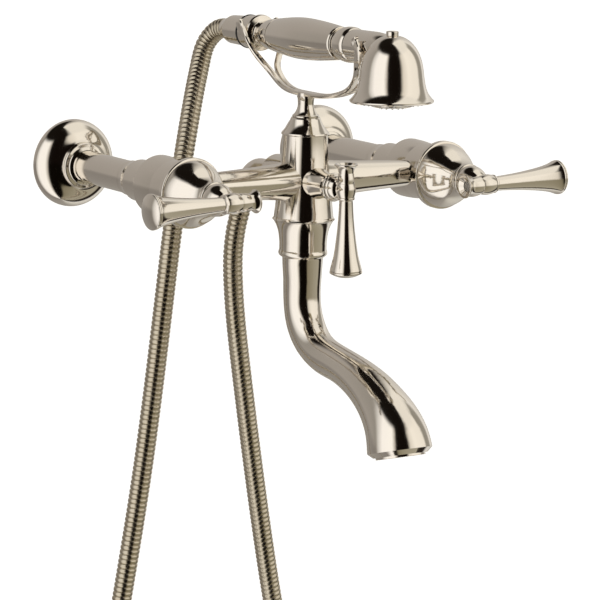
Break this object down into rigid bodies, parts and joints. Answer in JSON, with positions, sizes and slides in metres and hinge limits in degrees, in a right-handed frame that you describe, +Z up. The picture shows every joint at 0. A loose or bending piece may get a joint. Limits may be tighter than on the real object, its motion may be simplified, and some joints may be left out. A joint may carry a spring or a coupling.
{
  "type": "wall mounted bath faucet with hand shower",
  "caption": "Exposed wall-mounted bath faucet: lever valves joined by tapered bridges to a column with swan spout, lever diverter and a cradle holding a telephone hand shower on a metal hose.",
  "frame": {"origin": "on the wall plane, midway between the two supply centres, at the height of the supply arms' axes", "axes": "+Y points into the wall, +Z up, +X to the right for someone facing the wall"},
  "size_m": [0.3312, 0.2848, 0.7567],
  "materials": {
    "polished_metal": "polished nickel plate",
    "hose_steel": "polished, ribbed",
    "raw_brass": "machined",
    "bolt_steel": "machined",
    "disc": "lapped",
    "washer": "matte",
    "seal": "satin",
    "aerator_plastic": "matte"
  },
  "bodies": {
    "faucet": {"wall_flange_left": "polished_metal", "inlet_union_left": "raw_brass", "supply_arm_left": "polished_metal", "valve_body_left": "polished_metal", "cartridge_left": "raw_brass", "bonnet_left": "polished_metal", "bridge_left": "polished_metal", "wall_flange_right": "polished_metal", "inlet_union_right": "raw_brass", "supply_arm_right": "polished_metal", "valve_body_right": "polished_metal", "cartridge_right": "raw_brass", "bonnet_right": "polished_metal", "bridge_right": "polished_metal", "inlet_gaskets": "washer", "cartridge_seals": "washer", "fixed_discs": "disc", "column_body": "polished_metal", "column_cap": "polished_metal", "diverter_collar": "polished_metal", "diverter_cartridge": "raw_brass", "spout_coupling": "polished_metal", "outlet_boss": "polished_metal", "outlet_elbow": "polished_metal", "hose_nut_lower": "polished_metal", "cradle_stem": "polished_metal", "cradle_yoke": "polished_metal", "shower_hose": "hose_steel"},
    "left_handle": {"valve_stem_left": "raw_brass", "turning_disc_left": "disc", "lever_left_hub": "polished_metal", "lever_left_arm": "polished_metal", "lever_left_cap": "polished_metal", "lever_left_finial": "polished_metal", "lever_left_bolt": "bolt_steel"},
    "right_handle": {"valve_stem_right": "raw_brass", "turning_disc_right": "disc", "lever_right_hub": "polished_metal", "lever_right_arm": "polished_metal", "lever_right_cap": "polished_metal", "lever_right_finial": "polished_metal", "lever_right_bolt": "bolt_steel"},
    "diverter_handle": {"diverter_stem": "raw_brass", "diverter_hub": "polished_metal", "diverter_arm": "polished_metal", "diverter_cap": "polished_metal", "diverter_finial": "polished_metal", "diverter_bolt": "bolt_steel"},
    "spout": {"spout_tube": "polished_metal", "spout_seals": "washer", "aerator_housing": "polished_metal", "aerator_insert": "aerator_plastic"},
    "handset": {"hose_nut_upper": "polished_metal", "handset_seal": "seal", "handset_ferrule": "polished_metal", "handset_grip": "polished_metal", "handset_ring": "polished_metal", "handset_head": "polished_metal", "spray_face": "polished_metal", "head_finial": "polished_metal"}
  },
  "joints": [
    {"name": "left_valve_turn", "type": "hinge", "parent": "faucet", "child": "left_handle", "pos_m": [-0.1016, -0.2125, 0], "axis": [0, -1, 0], "range_deg": [0, 90]},
    {"name": "right_valve_turn", "type": "hinge", "parent": "faucet", "child": "right_handle", "pos_m": [0.1016, -0.2125, 0], "axis": [0, 1, 0], "range_deg": [0, 90]},
    {"name": "diverter_turn", "type": "hinge", "parent": "faucet", "child": "diverter_handle", "pos_m": [0, -0.1934, 0], "axis": [0, 1, 0], "range_deg": [0, 90]},
    {"name": "spout_swing", "type": "hinge", "parent": "faucet", "child": "spout", "pos_m": [0, -0.1422, -0.0525], "axis": [0, 0, 1], "range_deg": [-55, 55]},
    {"name": "handset_lift", "type": "slide", "parent": "faucet", "child": "handset", "axis": [0, -0.5, 0.866], "range_m": [0, 0.035]}
  ]
}
